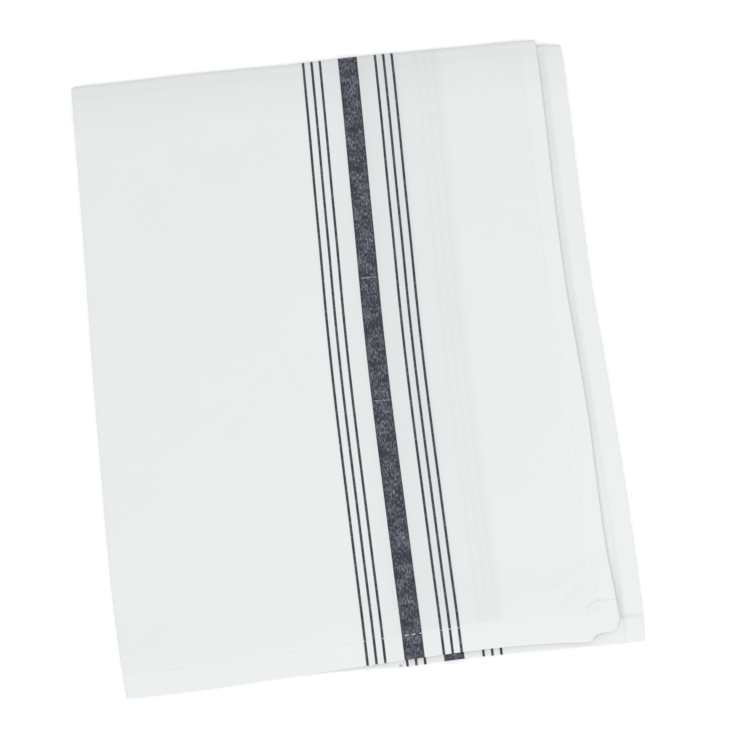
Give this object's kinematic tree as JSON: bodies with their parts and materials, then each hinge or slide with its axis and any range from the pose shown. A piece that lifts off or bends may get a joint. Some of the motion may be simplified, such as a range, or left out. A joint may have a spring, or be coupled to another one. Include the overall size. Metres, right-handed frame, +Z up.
{
  "type": "cloth napkin",
  "caption": "White cotton table napkin with woven dark stripe bands and turned hems, folded in quarters and lying flat",
  "frame": {"origin": "the middle of the folded napkin's base, on the surface it lies on", "axes": "+Z up out of the surface; +Y along the stripes towards the crosswise fold; +X towards the free side hems, away from the lengthwise fold"},
  "size_m": [0.2366, 0.2874, 0.008],
  "materials": {
    "cotton_cloth": "plain-woven white cotton with charcoal stripe bands, matt and lightly pressed"
  },
  "bodies": {
    "root": {"napkin_cloth": "cotton_cloth"}
  },
  "joints": []
}
